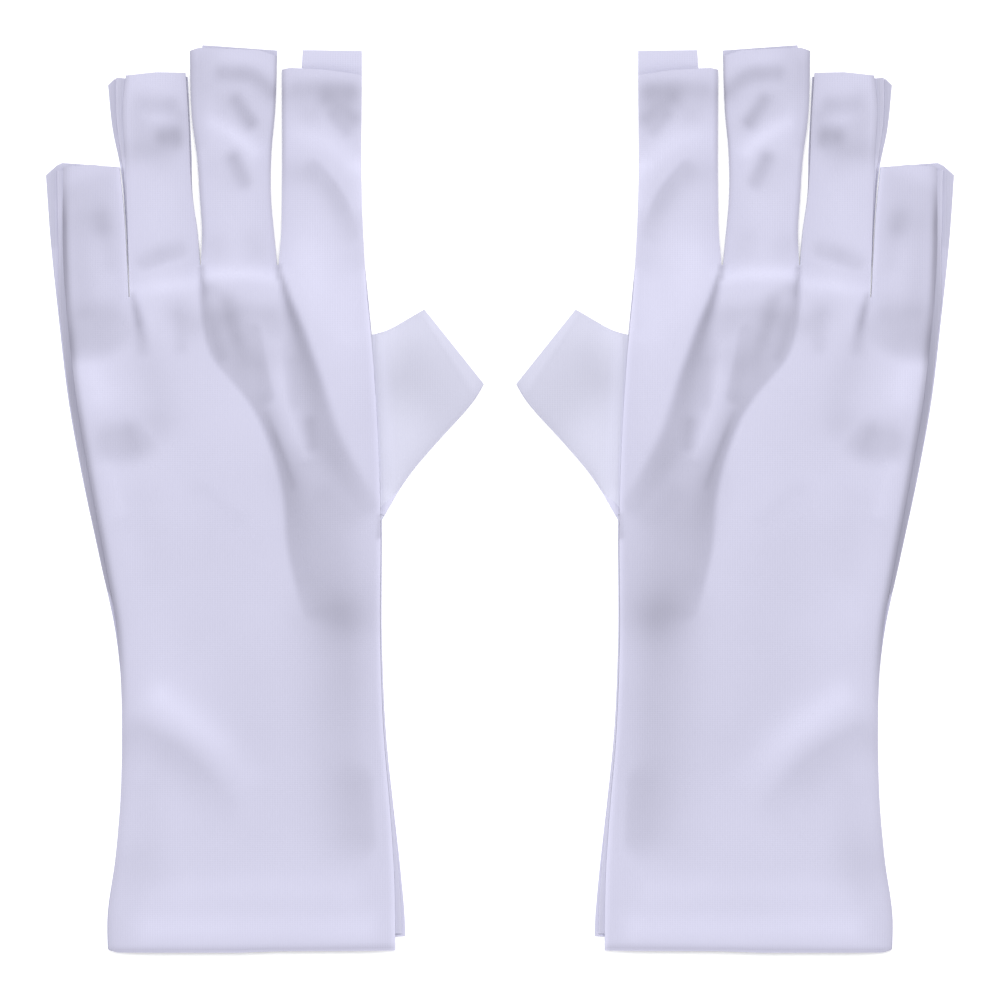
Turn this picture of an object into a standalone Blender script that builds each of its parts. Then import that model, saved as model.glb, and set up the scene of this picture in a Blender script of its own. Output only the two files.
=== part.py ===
"""A pair of thin stretch-fabric fingerless gloves with long cuffs, lying flat, backs up.

Each glove is cut from a back panel and a palm panel, joined along their edges by narrow side
strips, with a folded strip between neighbouring fingers and a thumb sleeve folded from one piece.
A panel that crosses a fold of the glove is split there, so that each side can move.

Sizes are in millimetres. A glove is drawn in its own plan: x runs from its centre line towards
the thumb, y runs from the hem to the fingertips. The right glove is the left one mirrored.
"""

from math import cos, hypot, radians, sin

import bmesh
import bpy

MM = 0.001

# Cloth and the sleeve's section
CLOTH = 0.8  # one layer of cloth
HOLLOW = 4.6  # height left inside a sleeve that lies relaxed
GAP = 0.3  # clearance between neighbouring pieces
HEIGHT = CLOTH + HOLLOW + CLOTH

# Lengths along the glove
CUFF_LENGTH = 82.5  # hem to wrist fold
HAND_LENGTH = 99.3  # wrist fold to the crotches of the three long fingers
LITTLE_DROP = 8.5  # the ring and little fingers part this much lower
FINGER_FOLD_OUT = 6.0  # from a crotch to the finger's fold line

# Reach of the edges from the glove's centre line, outer side and thumb side
HEM_REACH = (37.8, 40.6)
WAIST_REACH = (33.6, 36.4)
WAIST_AT = 55.0  # height of the cuff's waist above the hem
WRIST_REACH = (35.2, 34.9)
HEEL_BULGE = 0.9  # how far the outer palm edge swells past a straight line

# Fingers, from the index to the little: width at the crotch, and length past the long crotches
INDEX_EDGE = 30.0  # reach of the index finger's thumb side at its crotch
FINGERS = {
    "index": (22.0, 56.3),
    "middle": (19.5, 58.2),
    "ring": (19.2, 50.8),
    "little": (18.3, 26.4),
}
# Slits between the fingers: width at the crotch, width at the tips, lean of the slit at the tips
SLITS = (
    ("index", "middle", 1.2, 1.4, 0.3),
    ("middle", "ring", 0.7, 1.2, -2.9),
    ("ring", "little", 0.4, 0.4, 0.0),
)
INDEX_LEAN = -0.4  # lean of the index finger's thumb side at the tips
LITTLE_LEAN = -4.9  # lean of the little finger's outer side at the tips

# Thumb
SEAM_ABOVE_WRIST = 31.8  # low end of the thumb's seam
SEAM_LOW_REACH = 34.9
CROTCH_BELOW = 18.5  # thumb crotch below the long fingers' crotches
SEAM_HIGH_REACH = 32.2
THUMB_FOLD_OUT = 2.5  # from the seam to the thumb's fold line
THUMB_TURN = radians(38.7)  # the sleeve's direction above square to the glove
THUMB_END_WIDTH = 25.1
THUMB_END_OUT = 21.6  # middle of the thumb's end, from the thumb crotch
THUMB_END_DROP = 3.5
THUMB_TOP_LEAD = (5.5, 0.4)  # how the upper edge leaves the crotch
THUMB_LOW_LEAD = (6.6, 12.2)  # how the lower edge leaves the seam

PAIR_GAP = 9.0  # between the two thumbs

CURVE_STEP = 6.0  # spacing of points along the smooth edges
THUMB_CURVE_PARTS = 6

BACK_COLOUR = (0.66, 0.65, 0.83, 1.0)
PALM_COLOUR = (0.60, 0.59, 0.77, 1.0)
STRIP_COLOUR = (0.56, 0.55, 0.72, 1.0)
THUMB_COLOUR = (0.64, 0.63, 0.79, 1.0)
CLOTH_ROUGHNESS = 0.85

# Heights and places that follow from the sizes
CROTCH = CUFF_LENGTH + HAND_LENGTH
LITTLE_CROTCH = CROTCH - LITTLE_DROP
TIPS = CROTCH + max(length for _, length in FINGERS.values())
SEAM_LOW = (SEAM_LOW_REACH, CUFF_LENGTH + SEAM_ABOVE_WRIST)
SEAM_HIGH = (SEAM_HIGH_REACH, CROTCH - CROTCH_BELOW)
THUMB_END = (SEAM_HIGH[0] + THUMB_END_OUT, SEAM_HIGH[1] - THUMB_END_DROP)
THUMB_REACH = THUMB_END[0] + sin(THUMB_TURN) * THUMB_END_WIDTH / 2
CENTRE = THUMB_REACH + PAIR_GAP / 2  # from the pair's middle to a glove's centre line


def slit_edges(slit, y):
    """(little side, thumb side) of a slit between two fingers at height y."""
    _, _, root_width, tip_width, lean = slit
    up = (y - CROTCH) / (TIPS - CROTCH)
    centre = slit_root(slit) + lean * up
    half = (root_width + (tip_width - root_width) * up) / 2
    return centre - half, centre + half


def slit_root(slit):
    """Centre of a slit at the crotch line: fingers and slits stack up from the index's edge."""
    x = INDEX_EDGE
    for other in SLITS:
        x -= FINGERS[other[0]][0]
        if other is slit:
            return x - other[2] / 2
        x -= other[2]


def finger_edges(finger, y):
    """(little side, thumb side) of a finger at height y."""
    names = list(FINGERS)
    place = names.index(finger)
    up = (y - CROTCH) / (TIPS - CROTCH)
    if place == 0:
        thumb_side = INDEX_EDGE + INDEX_LEAN * up
    else:
        thumb_side = slit_edges(SLITS[place - 1], y)[0]
    if place == len(names) - 1:
        return INDEX_EDGE - all_fingers_width() + LITTLE_LEAN * up, thumb_side
    return slit_edges(SLITS[place], y)[1], thumb_side


def all_fingers_width():
    return sum(width for width, _ in FINGERS.values()) + sum(slit[2] for slit in SLITS)


def fold_height(finger):
    return (LITTLE_CROTCH if finger == "little" else CROTCH) + FINGER_FOLD_OUT


def slit_bottom(slit):
    return LITTLE_CROTCH if "little" in slit[:2] else CROTCH


def smooth_x(stations, y):
    """Reach at height y of a smooth edge through (height, reach) stations."""
    last = len(stations) - 2
    i = next((k for k in range(last) if y < stations[k + 1][0]), last)
    (y0, x0), (y1, x1) = stations[i], stations[i + 1]

    def slope(k):
        a, b = stations[max(k - 1, 0)], stations[min(k + 1, len(stations) - 1)]
        return (b[1] - a[1]) / (b[0] - a[0])

    t = (y - y0) / (y1 - y0)
    span = y1 - y0
    return (
        x0 * (1 + 2 * t) * (1 - t) ** 2
        + x1 * t * t * (3 - 2 * t)
        + slope(i) * span * t * (1 - t) ** 2
        - slope(i + 1) * span * t * t * (1 - t)
    )


def heights(low, high):
    """Even heights from low to high, about CURVE_STEP apart."""
    count = max(round((high - low) / CURVE_STEP), 1)
    return [low + (high - low) * k / count for k in range(count + 1)]


def outer_edge(low, high):
    """Points up the glove's outer side, from the hem to the little finger's fold."""
    knuckle = finger_edges("little", LITTLE_CROTCH)[0]
    middle = (CUFF_LENGTH + LITTLE_CROTCH) / 2
    stations = (
        (0.0, -HEM_REACH[0]),
        (WAIST_AT, -WAIST_REACH[0]),
        (CUFF_LENGTH, -WRIST_REACH[0]),
        (middle, (knuckle - WRIST_REACH[0]) / 2 - HEEL_BULGE),
        (LITTLE_CROTCH, knuckle),
        (fold_height("little"), finger_edges("little", fold_height("little"))[0]),
    )
    return [(smooth_x(stations, y), y) for y in heights(low, high)]


def thumb_edge(low, high):
    """Points up the glove's thumb side, from the hem to the low end of the thumb's seam."""
    stations = (
        (0.0, HEM_REACH[1]),
        (WAIST_AT, WAIST_REACH[1]),
        (CUFF_LENGTH, WRIST_REACH[1]),
        (SEAM_LOW[1], SEAM_LOW[0]),
    )
    return [(smooth_x(stations, y), y) for y in heights(low, high)]


def bend(start, lead, end):
    """Points along a curve that leaves start along lead and arrives at end."""
    middle = (start[0] + lead[0], start[1] + lead[1])
    points = []
    for k in range(THUMB_CURVE_PARTS + 1):
        t = k / THUMB_CURVE_PARTS
        weights = ((1 - t) ** 2, 2 * t * (1 - t), t * t)
        points.append(
            tuple(
                weights[0] * a + weights[1] * b + weights[2] * c
                for a, b, c in zip(start, middle, end)
            )
        )
    return points


def seam_direction():
    dx, dy = SEAM_HIGH[0] - SEAM_LOW[0], SEAM_HIGH[1] - SEAM_LOW[1]
    length = hypot(dx, dy)
    return dx / length, dy / length


def past_seam(point):
    """How far a point lies beyond the thumb's seam."""
    dx, dy = seam_direction()
    return (point[0] - SEAM_LOW[0]) * dy - (point[1] - SEAM_LOW[1]) * dx


def crossing(a, b, out):
    """Where the line from a to b lies out beyond the thumb's seam."""
    t = (out - past_seam(a)) / (past_seam(b) - past_seam(a))
    return a[0] + t * (b[0] - a[0]), a[1] + t * (b[1] - a[1])


def split_at_fold(points):
    """The parts of a thumb edge before and after the thumb's fold, with a gap between them."""
    near, far = THUMB_FOLD_OUT - GAP / 2, THUMB_FOLD_OUT + GAP / 2
    before = [p for p in points if past_seam(p) < near]
    after = [p for p in points if past_seam(p) > far]
    at = len(before)
    before.append(crossing(points[at - 1], points[at], near))
    at = len(points) - len(after)
    after.insert(0, crossing(points[at - 1], points[at], far))
    return before, after


def thumb_corners():
    """(lower, upper) corner of the thumb's cut end."""
    across = (-sin(THUMB_TURN) * THUMB_END_WIDTH / 2, cos(THUMB_TURN) * THUMB_END_WIDTH / 2)
    lower = (THUMB_END[0] - across[0], THUMB_END[1] - across[1])
    upper = (THUMB_END[0] + across[0], THUMB_END[1] + across[1])
    return lower, upper


def thumb_low_curve():
    return bend(SEAM_LOW, THUMB_LOW_LEAD, thumb_corners()[0])


def thumb_top_curve():
    return bend(SEAM_HIGH, THUMB_TOP_LEAD, thumb_corners()[1])


def index_side_run():
    """Points down the index finger's side, from its fold to the thumb crotch and thumb fold."""
    top = fold_height("index") - GAP / 2
    return [(finger_edges("index", top)[1], top)] + split_at_fold(thumb_top_curve())[0]


def thumb_side_run():
    """Points up the thumb side, from the wrist fold to the thumb's seam and fold."""
    below = thumb_edge(CUFF_LENGTH + GAP / 2, SEAM_LOW[1])
    return below + split_at_fold(thumb_low_curve())[0][1:]


def hand_outline():
    """Plan of the hand: a palm with a short root of each finger, round the slits."""
    top = fold_height("little") - GAP / 2
    points = outer_edge(CUFF_LENGTH + GAP / 2, top)
    for slit in reversed(SLITS):
        bottom = slit_bottom(slit)
        far_top = fold_height(slit[1]) - GAP / 2
        near_top = fold_height(slit[0]) - GAP / 2
        points += [
            (slit_edges(slit, far_top)[0], far_top),
            (slit_edges(slit, bottom)[0], bottom),
            (slit_edges(slit, bottom)[1], bottom),
            (slit_edges(slit, near_top)[1], near_top),
        ]
    return points + index_side_run() + thumb_side_run()[::-1]


def crotch_outline(slit):
    """Plan of the folded strip that closes the two finger roots beside a slit."""
    bottom = slit_bottom(slit)
    far_top = fold_height(slit[1]) - GAP / 2
    near_top = fold_height(slit[0]) - GAP / 2
    low = slit_edges(slit, bottom)
    far_x, near_x = slit_edges(slit, far_top)[0], slit_edges(slit, near_top)[1]
    return [
        (low[0] - CLOTH, bottom - CLOTH),
        (low[1] + CLOTH, bottom - CLOTH),
        (near_x + CLOTH, near_top),
        (near_x, near_top),
        (low[1], bottom),
        (low[0], bottom),
        (far_x, far_top),
        (far_x - CLOTH, far_top),
    ]


def finger_outline(finger):
    low = fold_height(finger) + GAP / 2
    high = CROTCH + FINGERS[finger][1]
    (a, b), (c, d) = finger_edges(finger, low), finger_edges(finger, high)
    return [(a, low), (b, low), (d, high), (c, high)]


def shifted(point, step):
    return point[0] + step[0], point[1] + step[1]


def left_normal(a, b):
    """Unit vector square to the line from a to b, on its left."""
    length = hypot(b[0] - a[0], b[1] - a[1])
    return (a[1] - b[1]) / length, (b[0] - a[0]) / length


def strip_outline(points, side):
    """Plan of a strip one cloth wide along a run of points, on its left for side 1, else right."""
    normals = [left_normal(a, b) for a, b in zip(points, points[1:])]
    inner = []
    for point, before, after in zip(points, normals[:1] + normals, normals + normals[-1:]):
        mitre = CLOTH * side / (1 + before[0] * after[0] + before[1] * after[1])
        inner.append(
            (point[0] + mitre * (before[0] + after[0]), point[1] + mitre * (before[1] + after[1]))
        )
    return points + inner[::-1]


def cloth_material(name, colour):
    material = bpy.data.materials.new(name)
    material.use_nodes = True
    shader = material.node_tree.nodes["Principled BSDF"]
    shader.inputs["Base Color"].default_value = colour
    shader.inputs["Roughness"].default_value = CLOTH_ROUGHNESS
    shader.inputs["Metallic"].default_value = 0.0
    return material


class Glove:
    """One glove of the pair: places plan points in the world and makes the pieces there."""

    def __init__(self, side):
        self.side = side
        self.turn = 1 if side == "left" else -1
        self.body = None

    def place(self, point, z):
        return self.turn * (point[0] - CENTRE) * MM, (point[1] - TIPS / 2) * MM, z * MM

    def start_body(self, name, hinge):
        """An empty on the body's fold line, which carries the pieces made after it."""
        self.body = bpy.data.objects.new(f"{self.side}_{name}_fold", None)
        self.body.location = self.place(hinge, HEIGHT)
        bpy.context.scene.collection.objects.link(self.body)

    def prism(self, name, outline, low, high, colour):
        """A piece of cloth with this plan, from height low to high."""
        origin = self.body.location
        mesh = bpy.data.meshes.new(name)
        shape = bmesh.new()
        ring = []
        for point in outline:
            x, y, z = self.place(point, low)
            ring.append(shape.verts.new((x - origin.x, y - origin.y, z - origin.z)))
        base = shape.faces.new(ring)
        raised = bmesh.ops.extrude_face_region(shape, geom=[base])["geom"]
        lifted = [v for v in raised if isinstance(v, bmesh.types.BMVert)]
        bmesh.ops.translate(shape, verts=lifted, vec=(0, 0, (high - low) * MM))
        bmesh.ops.recalc_face_normals(shape, faces=shape.faces)
        shape.to_mesh(mesh)
        shape.free()
        piece = bpy.data.objects.new(f"{self.side}_{name}", mesh)
        piece.data.materials.append(cloth_material(f"{self.side}_{name}_cloth", colour))
        piece.parent = self.body
        bpy.context.scene.collection.objects.link(piece)
        return piece

    def panels(self, name, outline):
        """A back panel and a palm panel with the same plan."""
        self.prism(f"{name}_palm_panel", outline, 0, CLOTH, PALM_COLOUR)
        self.prism(f"{name}_back_panel", outline, HEIGHT - CLOTH, HEIGHT, BACK_COLOUR)

    def strip(self, name, outline):
        """An upright strip between the two panels."""
        self.prism(name, outline, CLOTH + GAP, HEIGHT - CLOTH - GAP, STRIP_COLOUR)

    def hand(self):
        self.start_body("hand", (0, CUFF_LENGTH))
        self.panels("hand", hand_outline())
        outer = outer_edge(CUFF_LENGTH + GAP / 2, fold_height("little") - GAP / 2)
        self.strip("hand_outer_side_strip", strip_outline(outer, -1))
        self.strip("hand_index_side_strip", strip_outline(index_side_run(), -1))
        self.strip("hand_thumb_side_strip", strip_outline(thumb_side_run(), 1))
        for slit in SLITS:
            self.strip(f"crotch_strip_{slit[0]}_{slit[1]}", crotch_outline(slit))

    def cuff(self):
        self.start_body("cuff", (0, CUFF_LENGTH))
        outer = outer_edge(0, CUFF_LENGTH - GAP / 2)
        inner = thumb_edge(0, CUFF_LENGTH - GAP / 2)
        self.panels("cuff", inner + outer[::-1])
        self.strip("cuff_outer_side_strip", strip_outline(outer, -1))
        self.strip("cuff_thumb_side_strip", strip_outline(inner, 1))

    def finger(self, finger):
        low = fold_height(finger)
        middle = sum(finger_edges(finger, low)) / 2
        self.start_body(finger, (middle, low))
        outline = finger_outline(finger)
        self.panels(finger, outline)
        thumb_side, little_side = outline[1:3], [outline[0], outline[3]]
        self.strip(f"{finger}_thumb_side_strip", strip_outline(thumb_side, 1))
        self.strip(f"{finger}_little_side_strip", strip_outline(little_side, -1))

    def thumb(self):
        """A sleeve folded round its upper edge, closed along its lower edge by a strip."""
        low = split_at_fold(thumb_low_curve())[1]
        top = split_at_fold(thumb_top_curve())[1]
        dx, dy = seam_direction()
        hinge = ((low[0][0] + top[0][0] - GAP * dy) / 2, (low[0][1] + top[0][1] + GAP * dx) / 2)
        self.start_body("thumb", hinge)
        outline = low + top[::-1]
        sleeve = self.prism("thumb_sleeve", outline, 0, HEIGHT, THUMB_COLOUR)
        self.hollow(sleeve, low, top)
        self.strip("thumb_lower_side_strip", strip_outline(low, 1))

    def hollow(self, sleeve, low, top):
        """Cuts the room for the thumb, open at the seam, at the cut end and along the low edge."""
        dx, dy = seam_direction()
        past = 4 * CLOTH  # how far the cutter runs out of the sleeve
        back = (-past * dy, past * dx)
        ahead = (past * cos(THUMB_TURN), past * sin(THUMB_TURN))
        below = (ahead[1], -ahead[0])
        inner = strip_outline(top, -1)[len(top) :]
        under = [shifted(point, below) for point in low]
        outline = [
            shifted(under[0], back),
            *under,
            shifted(under[-1], ahead),
            shifted(inner[0], ahead),
            *inner,
            shifted(inner[-1], back),
        ]
        cutter = self.prism("thumb_room", outline, CLOTH, HEIGHT - CLOTH, THUMB_COLOUR)
        cutter.hide_render = True
        cutter.display_type = "WIRE"
        cut = sleeve.modifiers.new("thumb room", "BOOLEAN")
        cut.operation = "DIFFERENCE"
        cut.solver = "EXACT"
        cut.object = cutter


def clear_scene():
    for obj in list(bpy.data.objects):
        bpy.data.objects.remove(obj, do_unlink=True)


def main():
    clear_scene()
    for side in ("left", "right"):
        glove = Glove(side)
        glove.hand()
        glove.cuff()
        for finger in FINGERS:
            glove.finger(finger)
        glove.thumb()


main()
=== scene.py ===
# %% [markdown]
# # A pair of fingerless gloves, laid flat
#
# The pair is thin knitted cloth. Each glove has a back panel and a palm panel, narrow folded
# strips between them, and a thumb sleeve. It lies on a table, palm down, as an open hand would.
#
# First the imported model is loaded. Its bodies say what moves with what, and its box says how
# big the pair may be. Everything below is made around it, in metres.

# %% Load the frame
from math import pi, radians

import bmesh
import bpy
import numpy as np
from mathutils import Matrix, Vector


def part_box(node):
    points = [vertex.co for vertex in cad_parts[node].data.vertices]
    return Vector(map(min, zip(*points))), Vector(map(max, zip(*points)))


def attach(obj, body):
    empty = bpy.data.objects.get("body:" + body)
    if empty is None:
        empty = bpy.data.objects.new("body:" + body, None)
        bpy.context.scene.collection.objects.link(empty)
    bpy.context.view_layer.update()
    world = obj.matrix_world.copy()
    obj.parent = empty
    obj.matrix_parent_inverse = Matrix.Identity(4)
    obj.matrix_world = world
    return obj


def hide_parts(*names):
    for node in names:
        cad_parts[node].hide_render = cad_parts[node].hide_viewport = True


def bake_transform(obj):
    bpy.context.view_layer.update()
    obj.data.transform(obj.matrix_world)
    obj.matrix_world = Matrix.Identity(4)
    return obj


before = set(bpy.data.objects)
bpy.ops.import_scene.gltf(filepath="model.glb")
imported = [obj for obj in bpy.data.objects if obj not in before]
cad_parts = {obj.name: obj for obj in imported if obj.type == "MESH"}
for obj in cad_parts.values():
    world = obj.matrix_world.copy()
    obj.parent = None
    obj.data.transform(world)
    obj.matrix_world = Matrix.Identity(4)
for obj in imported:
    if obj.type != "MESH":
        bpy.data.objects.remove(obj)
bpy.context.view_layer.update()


# %% [markdown]
# ## Where things are
#
# A pattern cutter draws one glove round its own centre line. Here x runs from that line
# towards the thumb, y from the hem to the fingertips and z up from the table, all in
# millimetres. The left glove is drawn, and the right one is its mirror image, so one drawing
# gives both.

# %% The drafting frame
MM = 0.001
HEM_OUTER_REACH = 37.8
SIDES = {"left": 1, "right": -1}
low_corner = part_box("left_cuff_outer_side_strip")[0]
CENTRE_X = low_corner.x / MM + HEM_OUTER_REACH
HEM_Y = low_corner.y / MM

WRIST = 82.5
CROTCH = 181.8
LITTLE_CROTCH = 173.3
FINGER_NAMES = ("little", "ring", "middle", "index")
ROOTS = {name: LITTLE_CROTCH if name == "little" else CROTCH for name in FINGER_NAMES}


def placed(points, side):
    """Draft points, in millimetres, as points of the scene on one side of the pair."""
    out = np.array(points, float)
    out[..., 0] = (out[..., 0] + CENTRE_X) * SIDES[side]
    out[..., 1] += HEM_Y
    return out * MM


def place(x, y, z, side):
    """One draft point as a point of the scene."""
    return tuple(placed((x, y, z), side))


print(f"a glove's centre line is {CENTRE_X:.2f} mm from the middle of the pair")

# %% [markdown]
# ## Edges
#
# A cut edge of the pattern is a smooth curve through a few stations, each a height and a reach
# from the centre line. A cubic curve whose slope at each station comes from its neighbours
# goes through all of them and has no kinks, which is how a cutter draws with a curved ruler.


# %% Smooth edges through stations
def smooth_edge(*stations):
    """A function from height to reach, smooth through (height, reach) stations."""
    at, reach = np.array(stations, float).T
    slope = np.gradient(reach, at)

    def edge(y):
        y = np.clip(y, at[0], at[-1])
        i = np.clip(np.searchsorted(at, y) - 1, 0, len(at) - 2)
        span = at[i + 1] - at[i]
        t = (y - at[i]) / span
        return (
            reach[i] * (1 + 2 * t) * (1 - t) ** 2
            + reach[i + 1] * t * t * (3 - 2 * t)
            + slope[i] * span * t * (1 - t) ** 2
            - slope[i + 1] * span * t * t * (1 - t)
        )

    return edge


palm_outer = smooth_edge(
    (0, -37.6), (9, -37.7), (24, -35.7), (40, -34.1), (56, -33.6), (72, -34.1), (83, -35.3),
    (104, -39.7), (125, -44.2), (146, -48.0), (167, -50.5), (188, -52.7), (209, -54.2),
)
inset = smooth_edge((0, 0.3), (80, 0.3), (93, 0.9), (109, 1.5), (146, 2.2), (178, 2.7), (209, 4.9))
palm_thumb_side = smooth_edge(
    (0, 41.1), (8, 41.0), (20, 40.0), (40, 37.8), (55, 36.2), (83, 34.9), (114, 34.9),
    (163.3, 32.1), (182, 30.3),
)
back_thumb_side = smooth_edge(
    (0, 38.5), (20, 38.2), (40, 36.9), (55, 35.6), (83, 34.5), (114, 34.6), (163.3, 32.2),
    (182, 30.4),
)


def back_outer(y):
    """The back panel's outer edge, which lies a little inside the palm's."""
    return palm_outer(y) + inset(y)


print("the palm's outer edge at hem, waist, wrist:", palm_outer(0.0), palm_outer(56.0),
      palm_outer(WRIST))

# %% [markdown]
# The four fingers are open tubes. The back panel and the palm panel were cut with slightly
# different fingers, so the palm's show as a rim beside and beyond the back's. Each finger has
# a left and a right edge, and a tip line that may slant.

# %% Finger edges of both panels
BACK = {
    "little": (back_outer, smooth_edge((173.3, -32.0), (185, -32.6), (195, -33.2), (208, -34.5)),
               ((0, 207.6), (0.5, 208.3), (1, 207.4))),
    "ring": (smooth_edge((173.3, -31.7), (182, -32.0), (195, -32.4), (210, -32.9), (225, -33.5),
                         (233, -32.6)),
             smooth_edge((173.3, -13.6), (182, -13.2), (190, -13.8), (200, -15.2), (222, -16.3),
                         (233, -17.0)),
             ((0, 231.9), (0.5, 232.7), (1, 232.6))),
    "middle": (smooth_edge((173.3, -13.0), (182, -12.9), (190, -12.6), (200, -13.2), (210, -13.9),
                           (220, -15.2), (240, -15.9)),
               smooth_edge((173.3, 7.4), (182, 7.15), (190, 6.4), (199, 5.6), (212, 5.7),
                           (222, 6.6), (237, 7.2)),
               ((0, 238.4), (0.1, 239.2), (0.8, 238.5), (1, 237.0))),
    "index": (smooth_edge((173.3, 7.5), (182, 7.65), (190, 8.3), (200, 8.5), (234, 8.5)),
              smooth_edge((173.3, 31.0), (182, 30.4), (199, 29.6), (233, 29.6)),
              ((0, 233.4), (0.1, 233.9), (0.6, 233.2), (1, 232.0))),
}
PALM = {
    "little": (palm_outer, BACK["little"][1], ((0, 205.6), (0.2, 208.9), (1, 207.7))),
    "ring": (smooth_edge((173.3, -31.7), (185, -32.4), (195, -33.0), (208, -34.3), (217, -36.2),
                         (230, -37.6)),
             smooth_edge((173.3, -13.6), (182, -13.2), (190, -13.8), (200, -15.15), (212, -15.5),
                         (222, -16.0), (232, -16.5)),
             ((0, 229.4), (0.06, 231.0), (1, 231.6))),
    "middle": (smooth_edge((173.3, -13.0), (182, -12.9), (190, -12.6), (210, -13.6), (240, -12.6)),
               BACK["middle"][1], ((0, 240.0), (1, 238.6))),
    "index": (smooth_edge((173.3, 7.6), (182, 7.75), (210, 12.0), (239, 14.0)),
              BACK["index"][1], ((0, 238.7), (1, 238.5))),
}
for name in FINGER_NAMES:
    left, right, tip = BACK[name]
    print(f"{name}: {right(190.0) - left(190.0):.1f} mm wide, tip at {tip[0][1]:.0f}")

# %% [markdown]
# ## Distances and folds
#
# Soft cloth gets its look from folds. A sculptor draws each fold as a line and presses the
# cloth up or down beside it, sharply on one side and gently on the other. The same is done
# here: for every point of the cloth the nearest point on the line is found, and a bell curve of
# that distance gives the push. A second bell is painted shade: it deepens the colour along the
# fold, and where it is below nought it is painted light. Some folds are only painted, with no
# depth.


# %% Distance to a line, and which side of it
def rounded(path, times=3):
    """A path with its corners cut off a few times, so that it bends smoothly."""
    path = np.array(path, float)
    for _ in range(times):
        first = 0.75 * path[:-1] + 0.25 * path[1:]
        second = 0.25 * path[:-1] + 0.75 * path[1:]
        middle = np.stack([first, second], 1).reshape(-1, 2)
        path = np.vstack([path[:1], middle, path[-1:]])
    return path


def near(points, path):
    """Distance of each point from a path, its side from -1 to 1, and how far along it lies."""
    steps = np.diff(path, axis=0)
    lengths = np.hypot(steps[:, 0], steps[:, 1])
    total = lengths.sum()
    before = np.concatenate([[0], np.cumsum(lengths)[:-1]])
    best = np.full(len(points), np.inf)
    side = np.zeros(len(points))
    along = np.zeros(len(points))
    for start, step, length, passed in zip(path[:-1], steps, lengths, before):
        away = points - start
        t = np.clip((away @ step) / (length * length), 0, 1)
        gap = away - t[:, None] * step
        distance = np.hypot(gap[:, 0], gap[:, 1])
        closer = distance < best
        best[closer] = distance[closer]
        across = (step[0] * gap[:, 1] - step[1] * gap[:, 0]) / length
        side[closer] = (across / np.maximum(distance, 1e-9))[closer]
        along[closer] = ((passed + t * length) / total)[closer]
    return best, side, along


def bell(value, centre, width):
    """One at the centre, and falling off softly on both sides."""
    return np.exp(-(((value - centre) / width) ** 2))


print("a bell one width from its centre:", round(float(bell(1.0, 0.0, 1.0)), 3))

# %% The folds of the glove
SOFT, CRISP = 2.0, 4.0
FOLDS = []


def fold(path, shade, left, right, crisp="", depth=3.2):
    """Adds a fold along a path. Its shade and its width on each side may vary along the way.

    Its shade is painted shade in the cloth's colour, and full shade presses the cloth down by the
    depth. A shade below nought is painted light instead, and lifts the cloth.
    """
    powers = (CRISP if "left" in crisp else SOFT, CRISP if "right" in crisp else SOFT)
    FOLDS.append((rounded(path), shade, left, right, powers, depth))


# the crease that starts in the slit between middle and index and runs towards the thumb
fold([(7.8, 181.5), (9.7, 173), (12.6, 165), (14.8, 158), (16.8, 151), (18.2, 144), (20.2, 136.5),
      (23.6, 129.5), (27.4, 123), (31, 118)],
     (0.14, 0.24, 0.34, 0.38, 0.38, 0.34, 0.31, 0.28, 0.25, 0.19, 0.10),
     (0.8, 1.3, 1.8, 2.0, 2.6, 3.2, 3.4, 3.4, 3.2), (0.7, 1.2, 2.2, 3.8, 5.2, 5.4, 4.8, 3.8, 2.6),
     "left")
fold([(8.4, 178.5), (10.7, 171.5), (13.2, 164.5)], (0.06, 0.06, 0.03), 0.8, 1.2, "left", 1.5)
fold([(15.8, 140), (16.6, 134)], 0.13, 1.8, 1.8, depth=1.0)
fold([(11.2, 156), (11.8, 145)], 0.06, 1.8, 1.8, depth=1.0)
# the long fold that starts in the slit between ring and middle: crisp below, soft above
fold([(-12.6, 181), (-12.2, 173), (-11.2, 164.5), (-8.7, 157.4), (-4.4, 152.8), (0.2, 147.6),
      (4, 141.6), (6.7, 135), (9.1, 128), (10.8, 120), (11.3, 111), (12.4, 104), (14.2, 97),
      (16, 91)],
     (0.26, 0.25, 0.20, 0.21, 0.20, 0.24, 0.29, 0.31, 0.28, 0.25, 0.23, 0.22, 0.20, 0.10),
     (0.8, 2.0, 3.4, 5.2, 5.5, 4.6, 3.4, 3.0, 3.4, 4.0, 4.8, 5.2, 5.4, 5.0),
     (0.7, 0.9, 1.1, 1.3, 1.4, 1.5, 1.5, 1.6, 1.7, 1.7, 1.8, 1.9, 2.0, 2.2), "right", 3.0)
fold([(-6, 170), (4, 168.5)], (0.14, 0.13), 3.0, 5.0, depth=1.6)
fold([(-6.5, 168), (-3, 161), (0.5, 155)], 0.10, 5.0, 4.5, depth=1.0)
fold([(8.5, 168), (8, 158)], 0.08, 4.0, 4.0, depth=1.0)
fold([(-10.5, 170), (-9.2, 162), (-7.4, 157.5)], (0.02, 0.08, 0.10), 1.8, 1.2, depth=2.0)
fold([(-5, 168), (-2.6, 161), (-0.5, 156)], (0.12, 0.13, 0.03), 2.4, 2.0, depth=3.0)
fold([(1.5, 164), (3, 156), (5, 147)], (0.10, 0.15, 0.14), 1.6, 2.6, "left", 3.0)
fold([(4.6, 142.5), (7.2, 135.5), (9.6, 129.5), (11.6, 123)], (0.05, 0.13, 0.10, 0.06), 0.9, 0.9,
     depth=2.0)
fold([(15, 124), (19, 113), (22, 104), (24, 92)], (0.18, 0.23, 0.22, 0.22), 10.0, 7.0, depth=2.0)
fold([(21, 121), (27, 116)], 0.08, 4.0, 4.0, depth=1.0)
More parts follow.
